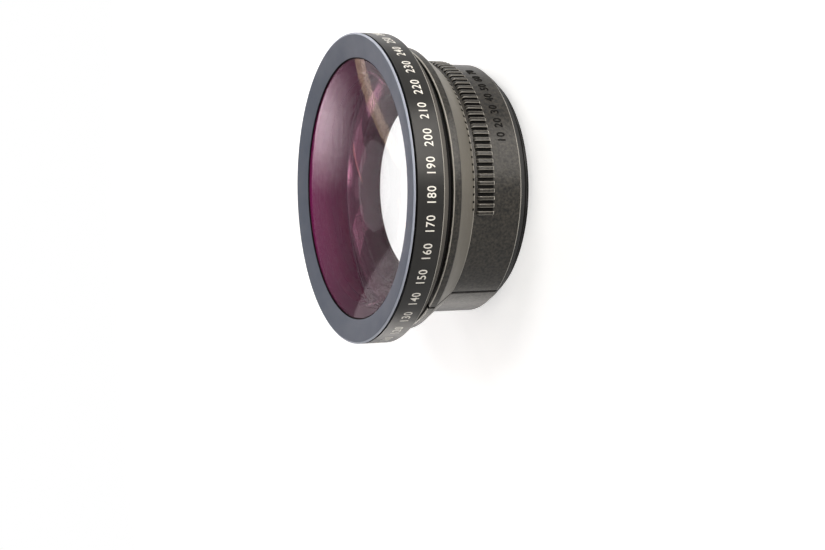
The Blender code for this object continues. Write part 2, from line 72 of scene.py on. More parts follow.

# The places of the paints in the bezel's list, and then in those of the name ring and of the cover: the shade
# paint is painted shade, the highlight paints are painted highlights, and the next place holds the step's
# satin on the ring, and on the cover a lighter paint, painted light, for the cone and the ribs' soft edges.
BEZEL_SHADOW_PAINT = 1
BEZEL_HIGHLIGHT_PAINT = 2
SATIN_AND_PAINTED_LIGHT = 1
PAINTED_SHADE = 2
EDGE_HIGHLIGHT_PAINT = 3

# Where a painted wall has another paint: radius from and to, depth from and to, and the paint's place. Most
# zones lay painted shade in joints and grooves, or painted highlights on edges.
BEZEL_ZONES = [
    # Painted highlight on the outer chamfer.
    (38.6, 38.9, 0.12, 0.38, BEZEL_HIGHLIGHT_PAINT),
    # Painted shade in the joint to the band, then on the lip's inner wall.
    (37.6, 38.9, 0.38, 1.5, BEZEL_SHADOW_PAINT),
    (32.7, 32.97, 1.0, 1.8, BEZEL_SHADOW_PAINT),
]
RING_ZONES = [
    # Painted shade on the band's front chamfer, its rear face and in the groove; a painted highlight on its
    # rear edge; the step's satin.
    (38.0, 38.86, 0.7, 1.62, PAINTED_SHADE),
    (38.62, 39.0, 7.5, 8.0, EDGE_HIGHLIGHT_PAINT),
    (38.0, 38.6, 7.8, 8.0, PAINTED_SHADE),
    (34.9, 36.8, 9.6, 11.4, PAINTED_SHADE),
    (36.8, 37.2, 7.95, 9.75, SATIN_AND_PAINTED_LIGHT),
]
COVER_ZONES = [
    # Painted highlights on the flange's front edge, the cone's foot and the rear edge; the cone's lighter
    # paint is painted light.
    (35.5, 35.8, 11.5, 11.93, EDGE_HIGHLIGHT_PAINT),
    (31.9, 35.38, 13.84, 18.75, SATIN_AND_PAINTED_LIGHT),
    (31.5, 31.95, 18.75, 19.12, EDGE_HIGHLIGHT_PAINT),
    (31.3, 31.6, 31.45, 31.8, EDGE_HIGHLIGHT_PAINT),
]

WHITE = (1.0, 1.0, 1.0)
WARM = (1.0, 0.95, 0.89)
# Most lamps' distance, and the size and soft rims of the two panels.
NEAR = 620.0
PANEL_SIZE = (140.0, 330.0)
PANEL_SOFT = (0.05, 0.1)
AMBIENT = 0.15
# Grains to the metre: of the glass's polish, of a lathe mark's unevenness, and of the roughness.
POLISH_GRAIN = 60.0
LATHE_GRAIN = 900.0
ROUGHNESS_GRAIN = 420.0
LAMP_AIM = Vector((0.0, 0.0, 18.0))
FLOOR_RADIUS = 6.0
PAPER = (0.9, 0.9, 0.9, 1.0)
FLOOR_LIFT = 0.52
# How far from the lens the paper starts to turn plain white, and where it is, in metres.
PLAIN_START = 0.1
PLAIN_END = 0.4
# The colour of what the outer coating mirrors, and the share of mirrored light that counts as all of it.
COAT_TINT = (1.0, 0.96, 0.98, 1.0)
ALL_MIRRORED = 0.99
# The coating's colour comes in between these two shares of mirrored light, and reaches this share.
BLOOM_START = 0.1
BLOOM_END = 0.3
BLOOM_SHARE = 0.24

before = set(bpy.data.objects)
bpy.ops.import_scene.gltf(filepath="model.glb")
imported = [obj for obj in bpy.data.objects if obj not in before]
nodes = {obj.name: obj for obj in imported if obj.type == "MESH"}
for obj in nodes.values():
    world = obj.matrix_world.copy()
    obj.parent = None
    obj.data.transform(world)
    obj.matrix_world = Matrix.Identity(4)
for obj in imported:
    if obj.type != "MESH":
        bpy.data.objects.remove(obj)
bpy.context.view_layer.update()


# Camera and light


def set_camera():
    """The photo's viewpoint. The lens axis is nearly level in the picture, with the front at the left."""
    off_axis = math.radians(65.76)
    roll = math.radians(-1.91)
    face_centre = Vector((-15.6, -21.55, 400.0))
    # These three are CAD directions as the camera has them: x right, y down, z ahead.
    sideways = math.sin(off_axis)
    ahead = Vector((sideways * math.cos(roll), sideways * math.sin(roll), math.cos(off_axis)))
    up = Vector((0.0, -1.0, 0.0))
    down = -(up - up.dot(ahead) * ahead).normalized()
    side = down.cross(ahead)
    right = Vector((side[0], -down[0], -ahead[0]))
    top = Vector((-side[1], down[1], ahead[1]))
    back = Vector((-side[2], down[2], ahead[2]))
    height = FACE_HEIGHT + ahead.dot(face_centre)
    place = Vector((-side.dot(face_centre), down.dot(face_centre), height)) * MM
    data = bpy.data.cameras.new("camera")
    data.sensor_width = 36.0
    data.lens = 69.59
    data.clip_start = 0.01
    camera = bpy.data.objects.new("camera", data)
    bpy.context.scene.collection.objects.link(camera)
    turn = Matrix((right, top, back)).transposed().to_4x4()
    camera.matrix_world = Matrix.Translation(place) @ turn
    bpy.context.scene.camera = camera


def add_lamp(name, azimuth, elevation, distance, size, strength, soft=(0.3, 0.3), turn=0.0, tint=WHITE):
    """A soft box that faces the lens.

    strength is the radiance of its middle, and soft gives the shares of its width and its height
    over which it fades, from each rim inwards.
    """
    data = bpy.data.lights.new(name, "AREA")
    data.shape = "RECTANGLE"
    data.size = size[0] * MM
    data.size_y = size[1] * MM
    # A flat lamp's radiance is its power over pi and its area.
    data.energy = strength * math.pi * size[0] * size[1] * MM * MM
    data.color = tint
    data.use_nodes = True
    tree = data.node_tree
    place = tree.nodes.new("ShaderNodeNewGeometry")
    parts = tree.nodes.new("ShaderNodeSeparateXYZ")
    tree.links.new(place.outputs["Parametric"], parts.inputs[0])
    fades = []
    for axis in (0, 1):
        off = math_node(tree, "ABSOLUTE", math_node(tree, "SUBTRACT", parts.outputs[axis], 0.5))
        fade = tree.nodes.new("ShaderNodeMapRange")
        fade.interpolation_type = "SMOOTHSTEP"
        fade.inputs["From Max"].default_value = soft[axis]
        tree.links.new(math_node(tree, "SUBTRACT", 0.5, off), fade.inputs["Value"])
        fades.append(fade.outputs[0])
    tree.links.new(math_node(tree, "MULTIPLY", *fades), tree.nodes["Emission"].inputs["Strength"])
    place_lamp(name, data, azimuth, elevation, distance, turn)


def add_round_lamp(name, azimuth, elevation, distance, diameter, strength):
    """A round, even lamp that faces the lens."""
    data = bpy.data.lights.new(name, "AREA")
    data.shape = "DISK"
    data.size = diameter * MM
    data.energy = strength * math.pi * math.pi * (diameter * MM / 2) ** 2
    place_lamp(name, data, azimuth, elevation, distance, 0.0)


def place_lamp(name, data, azimuth, elevation, distance, turn):
    """Put the lamp at these angles and this distance from the lens, facing it and turned in its own plane."""
    lamp = bpy.data.objects.new(name, data)
    bpy.context.scene.collection.objects.link(lamp)
    round_axis = math.radians(azimuth)
    rise = math.radians(elevation)
    level = math.cos(rise)
    way = Vector((level * math.cos(round_axis), level * math.sin(round_axis), math.sin(rise)))
    facing = way.to_track_quat("Z", "Y").to_matrix().to_4x4() @ Matrix.Rotation(math.radians(turn), 4, "Z")
    lamp.matrix_world = Matrix.Translation((LAMP_AIM + way * distance) * MM) @ facing


def white_rays(tree, kinds):
    """1 for the kinds of ray that see the plain white background, else 0."""
    path = tree.nodes.new("ShaderNodeLightPath")
    total = path.outputs[kinds[0]]
    for kind in kinds[1:]:
        most = tree.nodes.new("ShaderNodeMath")
        most.operation = "MAXIMUM"
        tree.links.new(total, most.inputs[0])
        tree.links.new(path.outputs[kind], most.inputs[1])
        total = most.outputs[0]
    return total


def set_world(ambient):
    """A white background, which lights the object at the ambient level."""
    world = bpy.data.worlds.new("studio")
    bpy.context.scene.world = world
    world.use_nodes = True
    tree = world.node_tree
    background = tree.nodes["Background"]
    background.inputs["Color"].default_value = (*WHITE, 1.0)
    seen = white_rays(tree, ["Is Camera Ray", "Is Glossy Ray", "Is Transmission Ray"])
    level = tree.nodes.new("ShaderNodeMapRange")
    level.inputs["To Min"].default_value = ambient
    level.inputs["To Max"].default_value = 1.0
    tree.links.new(seen, level.inputs["Value"])
    tree.links.new(level.outputs[0], background.inputs["Strength"])


def add_floor():
    """A pale floor that looks white past the lens's shadow, and white through the glass."""
    mesh = bpy.data.meshes.new("floor")
    shape = bmesh.new()
    bmesh.ops.create_circle(shape, cap_ends=True, segments=96, radius=FLOOR_RADIUS)
    shape.to_mesh(mesh)
    shape.free()
    floor = bpy.data.objects.new("floor", mesh)
    bpy.context.scene.collection.objects.link(floor)
    material = bpy.data.materials.new("floor")
    material.use_nodes = True
    tree = material.node_tree
    paper = tree.nodes["Principled BSDF"]
    paper.inputs["Base Color"].default_value = PAPER
    paper.inputs["Roughness"].default_value = 0.9
    paper.inputs["Specular IOR Level"].default_value = 0.1
    white = tree.nodes.new("ShaderNodeEmission")
    lift = tree.nodes.new("ShaderNodeMapRange")
    lift.inputs["To Max"].default_value = FLOOR_LIFT
    tree.links.new(white_rays(tree, ["Is Camera Ray", "Is Glossy Ray"]), lift.inputs["Value"])
    tree.links.new(lift.outputs[0], white.inputs["Strength"])
    lit = tree.nodes.new("ShaderNodeAddShader")
    tree.links.new(paper.outputs[0], lit.inputs[0])
    tree.links.new(white.outputs[0], lit.inputs[1])
    # The paper is plain white far from the lens, and where it is seen through the glass.
    place = tree.nodes.new("ShaderNodeTexCoord")
    reach = tree.nodes.new("ShaderNodeVectorMath")
    reach.operation = "LENGTH"
    tree.links.new(place.outputs["Object"], reach.inputs[0])
    far = ranged(tree, reach.outputs["Value"], 0.0, 1.0, PLAIN_START, PLAIN_END)
    far = math_node(tree, "MULTIPLY", far, white_rays(tree, ["Is Camera Ray", "Is Glossy Ray"]))
    plain = tree.nodes.new("ShaderNodeEmission")
    mix = tree.nodes.new("ShaderNodeMixShader")
    through = white_rays(tree, ["Is Transmission Ray"])
    tree.links.new(math_node(tree, "MAXIMUM", far, through), mix.inputs["Fac"])
    tree.links.new(lit.outputs[0], mix.inputs[1])
    tree.links.new(plain.outputs[0], mix.inputs[2])
    tree.links.new(mix.outputs[0], tree.nodes["Material Output"].inputs["Surface"])
    mesh.materials.append(material)


# Materials


def linear(colour):
    """Screen values from 0 to 255 as scene-linear light."""
    shares = [value / 255 for value in colour]
    return (*[s / 12.92 if s <= 0.04045 else ((s + 0.055) / 1.055) ** 2.4 for s in shares], 1.0)


def noise(tree, scale, detail=3.0):
    """Noise fixed to the object, with this many grains to the metre."""
    place = tree.nodes.new("ShaderNodeTexCoord")
    node = tree.nodes.new("ShaderNodeTexNoise")
    node.inputs["Scale"].default_value = scale
    node.inputs["Detail"].default_value = detail
    tree.links.new(place.outputs["Object"], node.inputs["Vector"])
    return node.outputs["Fac"]


def ranged(tree, value, low, high, start=0.3, end=0.7):
    """The value between start and end, mapped to between low and high."""
    node = tree.nodes.new("ShaderNodeMapRange")
    node.inputs["From Min"].default_value = start
    node.inputs["From Max"].default_value = end
    node.inputs["To Min"].default_value = low
    node.inputs["To Max"].default_value = high
    tree.links.new(value, node.inputs["Value"])
    return node.outputs[0]


def math_node(tree, operation, first, second=None):
    """The result of an operation on one or two numbers or node outputs."""
    node = tree.nodes.new("ShaderNodeMath")
    node.operation = operation
    for socket, value in zip(node.inputs, (first, second)):
        if value is None:
            continue
        if isinstance(value, (int, float)):
            socket.default_value = value
        else:
            tree.links.new(value, socket)
    return node.outputs[0]


def lathe_lines(tree, pitch):
    """Fine rings round the axis, as a lathe leaves them on walls and on faces."""
    place = tree.nodes.new("ShaderNodeTexCoord")
    parts = tree.nodes.new("ShaderNodeSeparateXYZ")
    tree.links.new(place.outputs["Object"], parts.inputs[0])
    across = math_node(tree, "POWER", parts.outputs[0], 2)
    along = math_node(tree, "POWER", parts.outputs[1], 2)
    flat = math_node(tree, "ADD", across, along)
    way = math_node(tree, "ADD", math_node(tree, "SQRT", flat), parts.outputs[2])
    wave = math_node(tree, "SINE", math_node(tree, "MULTIPLY", way, math.tau / (pitch * MM)))
    unevenness = math_node(tree, "MULTIPLY", noise(tree, LATHE_GRAIN), 1.5)
    return math_node(tree, "ADD", wave, unevenness)


def add_bump(tree, shader, height, distance, strength):
    """Relief on a shader, with its distance in millimetres."""
    bump = tree.nodes.new("ShaderNodeBump")
    bump.inputs["Distance"].default_value = distance * MM
    bump.inputs["Strength"].default_value = strength
    tree.links.new(height, bump.inputs["Height"])
    tree.links.new(bump.outputs[0], shader.inputs["Normal"])


def finish_material(
    name,
    colour,
    worn,
    roughness,
    metallic=0.0,
    ior=1.5,
    lines=0.0,
    grain=0.0,
    grain_strength=0.2,
    spread=0.0,
    mottle=140.0,
):
    """A surface of two near colours in soft patches, with its roughness and relief from nodes.

    roughness holds its two ends, and lines is the pitch of a lathe's marks in millimetres. grain
    and mottle are the scales of the noise in the relief and in the colour. spread is how far the
    highlights reach across the rings that a lathe or a polishing wheel leaves.
    """
    material = bpy.data.materials.new(name)
    material.use_nodes = True
    tree = material.node_tree
    shader = tree.nodes["Principled BSDF"]
    shader.inputs["Metallic"].default_value = metallic
    shader.inputs["IOR"].default_value = ior
    blend = tree.nodes.new("ShaderNodeMix")
    blend.data_type = "RGBA"
    blend.inputs["A"].default_value = linear(colour)
    blend.inputs["B"].default_value = linear(worn)
    patches = noise(tree, mottle)
    tree.links.new(ranged(tree, patches, 0.0, 1.0), blend.inputs["Factor"])
    tree.links.new(blend.outputs["Result"], shader.inputs["Base Color"])
    uneven = ranged(tree, noise(tree, ROUGHNESS_GRAIN), roughness[0], roughness[1])
    tree.links.new(uneven, shader.inputs["Roughness"])
    if lines:
        add_bump(tree, shader, lathe_lines(tree, lines), 0.004, 0.25)
    if spread:
        around = tree.nodes.new("ShaderNodeTangent")
        around.direction_type = "RADIAL"
        around.axis = "Z"
        tree.links.new(around.outputs[0], shader.inputs["Tangent"])
        shader.inputs["Anisotropic"].default_value = spread
        shader.inputs["Anisotropic Rotation"].default_value = 0.25
    if grain:
        add_bump(tree, shader, noise(tree, grain, 2.0), 0.05, grain_strength)
    return material


def glass(name, ior, share, bloom, inner, through):
    """Coated glass.

    share is how much of bare glass's reflection is left, and bloom is the colour that the coating
    shows on the outer face, most of it at a slant. inner colours what is mirrored inside the glass,
    and through colours the shadow.
    """
    material = bpy.data.materials.new(name)
    material.use_nodes = True
    tree = material.node_tree
    tree.nodes.remove(tree.nodes["Principled BSDF"])
    bend = tree.nodes.new("ShaderNodeBsdfRefraction")
    bend.inputs["Color"].default_value = (*WHITE, 1.0)
    bend.inputs["IOR"].default_value = ior
    bend.inputs["Roughness"].default_value = 0.0
    side = tree.nodes.new("ShaderNodeNewGeometry")
    inside = side.outputs["Backfacing"]
    mirror = tree.nodes.new("ShaderNodeBsdfGlossy")
    tree.links.new(ranged(tree, noise(tree, POLISH_GRAIN), 0.0, 0.03), mirror.inputs["Roughness"])
    coat = tree.nodes.new("ShaderNodeMix")
    coat.data_type = "RGBA"
    coat.inputs["A"].default_value = COAT_TINT
    coat.inputs["B"].default_value = (*inner, 1.0)
    tree.links.new(inside, coat.inputs["Factor"])
    tree.links.new(coat.outputs["Result"], mirror.inputs["Color"])
    fresnel = tree.nodes.new("ShaderNodeFresnel")
    fresnel.inputs["IOR"].default_value = ior
    left = math_node(tree, "MULTIPLY", fresnel.outputs[0], share)
    trapped = math_node(tree, "GREATER_THAN", fresnel.outputs[0], ALL_MIRRORED)
    body = tree.nodes.new("ShaderNodeMixShader")
    tree.links.new(math_node(tree, "MAXIMUM", left, trapped), body.inputs["Fac"])
    tree.links.new(bend.outputs[0], body.inputs[1])
    tree.links.new(mirror.outputs[0], body.inputs[2])
    haze = tree.nodes.new("ShaderNodeBsdfDiffuse")
    haze.inputs["Color"].default_value = (*bloom, 1.0)
    slant = ranged(tree, fresnel.outputs[0], 0.0, BLOOM_SHARE, BLOOM_START, BLOOM_END)
    outer = math_node(tree, "MULTIPLY", slant, math_node(tree, "SUBTRACT", 1.0, inside))
    bloomed = tree.nodes.new("ShaderNodeMixShader")
    tree.links.new(outer, bloomed.inputs["Fac"])
    tree.links.new(body.outputs[0], bloomed.inputs[1])
    tree.links.new(haze.outputs[0], bloomed.inputs[2])
    clear = tree.nodes.new("ShaderNodeBsdfTransparent")
    clear.inputs["Color"].default_value = (*through, 1.0)
    pass_light = tree.nodes.new("ShaderNodeMixShader")
    tree.links.new(white_rays(tree, ["Is Shadow Ray", "Is Diffuse Ray"]), pass_light.inputs["Fac"])
    tree.links.new(bloomed.outputs[0], pass_light.inputs[1])
    tree.links.new(clear.outputs[0], pass_light.inputs[2])
    tree.links.new(pass_light.outputs[0], tree.nodes["Material Output"].inputs["Surface"])
    return material


# Shapes


def rounded(points, radius=0.12, closed=True, steps=4):
    """The profile with its corners rounded by this radius, or less where a side is short."""
    result = []
    count = len(points)
    for index, point in enumerate(points):
        if not closed and index in (0, count - 1):
            result.append(point)
            continue
        here = Vector(point)
        before = Vector(points[index - 1]) - here
        after = Vector(points[(index + 1) % count]) - here
        turn = math.pi - before.angle(after)
        if turn < math.radians(8):
            result.append(point)
            continue
        reach = min(radius * math.tan(turn / 2), 0.4 * before.length, 0.4 * after.length)
        start = here + before.normalized() * reach
        end = here + after.normalized() * reach
        for step in range(steps + 1):
            t = step / steps
            result.append(tuple(start * (1 - t) ** 2 + here * 2 * t * (1 - t) + end * t * t))
    return result


def add_piece(name, mesh, material, node_names=()):
    """A shaded piece that rides the frame's one body, in the place of the named nodes, if any."""
    piece = bpy.data.objects.new(name, mesh)
    bpy.context.scene.collection.objects.link(piece)
    for single in material if isinstance(material, list) else [material]:
        mesh.materials.append(single)
    mesh.shade_smooth()
    mesh.set_sharp_from_angle(angle=math.radians(32.0))
    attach(piece, "root")
    if node_names:
        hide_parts(*node_names)
    return piece


def material_of(zones, radius, depth):
    """The paint's place for a point: the first zone's that holds it, else 0."""
    for low, high, start, end, index in zones:
        if low <= radius <= high and start <= depth <= end:
            return index
    return 0


def paint_zones(mesh, zones):
    """Give each face of a turned mesh the paint of the zone that its middle is in."""
    for face in mesh.polygons:
        centre = face.center / MM
        # A face's middle lies a little inside the circle that its corners are on.
        radius = math.hypot(centre.x, centre.y) / math.cos(math.pi / SEGMENTS)
        face.material_index = material_of(zones, radius, FACE_HEIGHT - centre.z)


def turned_mesh(name, profile, closed=True, segments=SEGMENTS, paint=None):
    """A profile turned round the axis. paint gives the material index of a profile point's side."""
    mesh = bpy.data.meshes.new(name)
    shape = bmesh.new()
    rings = []
    for radius, depth in profile:
        height = (FACE_HEIGHT - depth) * MM
        if radius < 1e-6:
            rings.append([shape.verts.new((0.0, 0.0, height))] * segments)
            continue
        ring = []
        for step in range(segments):
            angle = math.tau * step / segments
            place = (radius * MM * math.cos(angle), radius * MM * math.sin(angle), height)
            ring.append(shape.verts.new(place))
        rings.append(ring)
    last = len(rings) if closed else len(rings) - 1
    for index in range(last):
        first = rings[index]
        second = rings[(index + 1) % len(rings)]
        for step in range(segments):
            after = (step + 1) % segments
            corners = []
            for corner in (first[step], second[step], second[after], first[after]):
                if corner not in corners:
                    corners.append(corner)
            if len(corners) > 2:
                face = shape.faces.new(corners)
                if paint:
                    face.material_index = paint(index)
    bmesh.ops.recalc_face_normals(shape, faces=shape.faces)
    shape.to_mesh(mesh)
    shape.free()
    return mesh


def sag(curve, radius):
    """How far a sphere of this curve falls away at this radius."""
    return curve - math.sqrt(curve**2 - radius**2)


def lens_points(curve, vertex, radius, points=20):
    """The profile of a glass surface, from the axis to this radius."""
    return [(radius * i / points, vertex + sag(curve, radius * i / points)) for i in range(points + 1)]


def make_bezel(paint, shade_and_numeral_black, edge):
    """The conical front ring, whose lip holds the front glass, with painted shade in its joint and on the
    lip's inner wall and a painted highlight on its chamfer.
    """
    profile = [
        (32.8, 1.6),
        (32.8, 0.95),
        (38.4, 0.0),
        (38.88, 0.3),
        (38.88, 0.42),
        (37.7, 1.32),
        (37.7, 2.32),
        (36.9, 2.32),
        (36.9, 4.32),
        (33.9, 4.32),
        (33.9, 1.75),
        (32.95, 1.75),
    ]
    mesh = turned_mesh("bezel", rounded(profile, 0.15))
    paint_zones(mesh, BEZEL_ZONES)
    add_piece("bezel", mesh, [paint, shade_and_numeral_black, edge], ["front_bezel"])


def make_name_ring(paints):
    """The lens head: its band, step, groove, glass pocket and skirt."""
    profile = [
        (BAND_WALL, 0.76),
        (BAND_WALL, 7.66),
        (38.63, 7.9),
        (37.1, 7.9),
        (37.1, 9.45),
        (36.85, 9.7),
        (35.0, 9.7),
        (35.0, 11.3),
        (34.0, 11.3),
        (34.0, 13.2),
        (32.6, 13.2),
        (32.6, 11.5),
        (29.2, 11.5),
        (29.2, 10.62),
        (33.9, 10.62),
        (33.9, 4.62),
        (37.2, 4.62),
        (37.2, 2.62),
        (38.0, 2.62),
        (38.0, 1.62),
    ]
    mesh = turned_mesh("name_ring_head", rounded(profile, 0.14))
    paint_zones(mesh, RING_ZONES)
    add_piece("name_ring_head", mesh, paints, ["name_ring"])


def wrapped_text(name, text, azimuth, radius, depth, size, lift, squeeze=0.86):
    """Numerals that read round a wall, with their tops to the front and their middle at the azimuth."""
    curve = bpy.data.curves.new(name, "FONT")
    curve.body = text
    curve.size = size
    curve.align_x = "CENTER"
    curve.align_y = "CENTER"
    curve.space_character = 1.12
    curve.extrude = lift
    curve.bevel_depth = min(0.03, lift / 2)
    curve.resolution_u = 4
    curve.offset = 0.008
    holder = bpy.data.objects.new(name, curve)
    bpy.context.scene.collection.objects.link(holder)
    bpy.context.view_layer.update()
    mesh = bpy.data.meshes.new_from_object(holder.evaluated_get(bpy.context.evaluated_depsgraph_get()))
    bpy.data.objects.remove(holder)
    for vertex in mesh.vertices:
        angle = azimuth + vertex.co.x * squeeze / radius
        out = (radius + vertex.co.z) * MM
        vertex.co = (out * math.cos(angle), out * math.sin(angle), (FACE_HEIGHT - depth + vertex.co.y) * MM)
    mesh.materials.clear()
    return mesh


def joined(name, meshes):
    """One mesh of several, which are removed."""
    shape = bmesh.new()
    for mesh in meshes:
        shape.from_mesh(mesh)
        bpy.data.meshes.remove(mesh)
    result = bpy.data.meshes.new(name)
    shape.to_mesh(result)
    shape.free()
    return result


def make_numerals(enamel):
    """A plain angle scale round the band, with a number each ten degrees."""
    middle = 4.55
    height = 3.2
    lift = 0.015
    spacing = 10
    meshes = []
    for step in range(360 // spacing):
        azimuth = math.radians(spacing * step + 5.0)
        number = str((spacing * step + 190) % 360)
        meshes.append(wrapped_text(f"number_{step}", number, azimuth, BAND_WALL, middle, height, lift))
    add_piece("scale_numerals", joined("scale_numerals", meshes), enamel)


def make_front_element(coated, blacked):
    """The coated meniscus, with a blackened edge."""
    dome = 32.4
    dome_curve = 241.0
    vertex = -0.86
    hollow = 28.6
    hollow_curve = 78.0
    shoulder = 1.95
    outer = 33.6
    middle = 4.75
    inner = vertex + middle
    rim = inner + sag(hollow_curve, hollow)
    front = lens_points(dome_curve, vertex, dome, 32)
    back = lens_points(hollow_curve, inner, hollow, 32)
    edge = [(dome, shoulder), (outer, shoulder), (outer, rim - 0.3), (outer - 0.3, rim)]
    profile = [*front, *edge, *reversed(back)]
    black = range(len(front) - 1, len(front) + len(edge))
    mesh = turned_mesh("front_glass", profile, closed=False, paint=lambda index: int(index in black))
    add_piece("front_glass", mesh, [coated, blacked], ["front_element"])


def rear_group_vertex():
    """The depth of the rear group's front vertex, worked out from its back edge."""
    second_edge = 0.6
    cement = 0.3
    first_middle = 1.6
    return REAR_DEPTH - second_edge - sag(REAR_MIDDLE_CURVE, REAR_CLEAR) - cement - first_middle


def make_rear_group(coated, blacked):
    """The cemented pair as one glass, hollow in front and bulging at the back."""
    rear = REAR_DEPTH + sag(REAR_BACK_CURVE, REAR_CLEAR)
    front = lens_points(REAR_FRONT_CURVE, rear_group_vertex(), REAR_CLEAR, 24)
    radii = [radius for radius, depth in lens_points(REAR_BACK_CURVE, rear, REAR_CLEAR, 12)]
    back = [(radius, rear - sag(REAR_BACK_CURVE, radius)) for radius in radii]
    outer = 25.0
    edge = [(outer, front[-1][1] + 0.3), (outer, REAR_DEPTH - 0.3)]
    profile = [*front, *edge, *reversed(back)]
    black = range(len(front) - 1, len(front) + len(edge))
    mesh = turned_mesh("rear_glass", profile, closed=False, paint=lambda index: int(index in black))
    solids = ["rear_element_negative", "rear_element_positive"]
    add_piece("rear_glass", mesh, [coated, blacked], solids)


def make_inner_rings(rubber, film, oxide):
    """The gasket, the light stop and the shim, which the glass and the barrel hide."""
    rings = [
        ("glass_gasket", "front_gasket", 33.3, 29.9, 9.7, 0.6, rubber, "seal"),
        ("light_stop", "light_mask", 32.3, 28.7, 11.8, 0.3, film, "mask"),
        ("spacing_shim", "cell_shim", 26.3, 25.5, 17.8, 0.4, oxide, "shim"),
    ]
    for name, node, outer, inner, depth, thickness, material, slot_name in rings:
        profile = [(outer, depth), (outer, depth + thickness), (inner, depth + thickness), (inner, depth)]
        add_piece(name, turned_mesh(name, rounded(profile, 0.08)), material, [node])


def make_barrel(paint):
    """The tube, with a thread-like light trap in its front bore."""
    front = 12.4
    bore = 29.2
    trap_length = 3.5
    grooves = 10
    trap = []
    for groove in range(grooves - 1, 0, -1):
        depth = front + trap_length * groove / grooves
        trap += [(bore, depth + 0.1), (29.5, depth)]
    profile = [
        (32.3, front),
        (32.3, 13.5),
        (29.7, 19.1),
        (29.7, 31.8),
        (27.9, 31.8),
        (27.9, 29.5),
        (26.6, 29.5),
        (26.6, 17.5),
        (25.5, 17.5),
        (25.5, 16.9),
        (bore, 15.9),
        *trap,
        (bore, front),
    ]
    mesh = turned_mesh("barrel_tube", rounded(profile, 0.06))
    add_piece("barrel_tube", mesh, paint, ["main_barrel"])


def make_rear_cell(paint):
    """The cell, whose tapered mouth is ringed against stray light."""
    front = 18.5
    wide = 25.4
    narrow = 24.2
    gap = 0.3
    lip_thickness = 0.8
    lip = rear_group_vertex() + sag(REAR_FRONT_CURVE, REAR_CLEAR) - gap
    lip_front = lip - lip_thickness
    rings = 15
    ring_width = 0.12
    ring_depth = 0.22
    mouth = []
    for ring in range(rings - 1, 0, -1):
        share = ring / rings
        radius = wide + (narrow - wide) * share
        depth = front + (lip_front - front) * share
        mouth += [(radius, depth + ring_width), (radius + ring_depth, depth)]
    profile = [
        (26.3, front),
        (26.3, 33.2),
        (25.3, 33.2),
        (25.3, lip),
        (narrow, lip),
        (narrow, lip_front),
        *mouth,
        (wide, front),
    ]
    add_piece("cell_tube", turned_mesh("cell_tube", rounded(profile, 0.06)), paint, ["rear_cell"])


def cut_box(name, size, centre):
    """A block of this size to cut with."""
    mesh = bpy.data.meshes.new(name)
    shape = bmesh.new()
    bmesh.ops.create_cube(shape, size=1.0)
    bmesh.ops.scale(shape, vec=Vector(size) * MM, verts=shape.verts)
    bmesh.ops.translate(shape, vec=Vector(centre) * MM, verts=shape.verts)
    shape.to_mesh(mesh)
    shape.free()
    return mesh


def make_retainer(paint):
    """The ring behind the rear group, with a slot at each side for a spanner."""
    profile = [(25.0, 32.0), (25.0, 33.0), (24.0, 33.0), (24.0, 32.0)]
    mesh = turned_mesh("retaining_ring", rounded(profile, 0.08))
    slot_size = (100.0, 1.4, 1.0)
    slot_centre = (0.0, 0.0, FACE_HEIGHT - 33.0)
    slot = bpy.data.objects.new("slot", cut_box("slot", slot_size, slot_centre))
    ring = bpy.data.objects.new("ring", mesh)
    for obj in (slot, ring):
        bpy.context.scene.collection.objects.link(obj)
    cut = ring.modifiers.new("slots", "BOOLEAN")
    cut.solver = "EXACT"
    cut.object = slot
    bpy.context.view_layer.update()
    done = bpy.data.meshes.new_from_object(ring.evaluated_get(bpy.context.evaluated_depsgraph_get()))
    for obj in (slot, ring):
        bpy.data.objects.remove(obj)
    add_piece("retaining_ring", done, paint, ["rear_retainer"])


def make_mount(paint):
    """The flange and the male thread."""
    pitch = 0.75
    major = 29.0
    thread_depth = 0.38
    flank = 2.3
    thread_front = 33.32
    thread_length = 1.86
    chamfer_depth = 34.9
    profile = [(27.6, 29.8), (27.6, 32.1), (30.4, 32.1), (30.4, 33.3), (28.6, 33.3)]
    profile = rounded(profile, 0.12, closed=False)
    thread_first = len(profile)
    rows = 44
    for row in range(rows + 1):
        profile.append((major, thread_front + thread_length * row / rows))
    thread_last = len(profile)
    profile += [(26.62, 35.2), (26.6, 35.1), (26.6, 29.8)]
    mesh = turned_mesh("mount_thread", profile)
    # The grooves fade in and out at the ends of the thread.
    low = 33.36
    high = 35.18
    run_in = 0.12
    run_out = 0.05
    for index in range(thread_first * SEGMENTS, thread_last * SEGMENTS):
        vertex = mesh.vertices[index]
        depth = FACE_HEIGHT - vertex.co.z / MM
        angle = math.atan2(vertex.co.y, vertex.co.x)
        phase = (depth / pitch - angle / math.tau) % 1.0
        groove = thread_depth * max(0.0, 1 - abs(phase - 0.5) * flank)
        ends = min(1.0, max(0.0, (depth - low) / run_in)) * min(1.0, max(0.0, (high - depth) / run_out))
        chamfer = max(0.0, depth - chamfer_depth)
        out = (major - max(groove * ends, chamfer)) * MM
        vertex.co.x = out * math.cos(angle)
        vertex.co.y = out * math.sin(angle)
    add_piece("mount_thread", mesh, paint, ["mount_ring"])


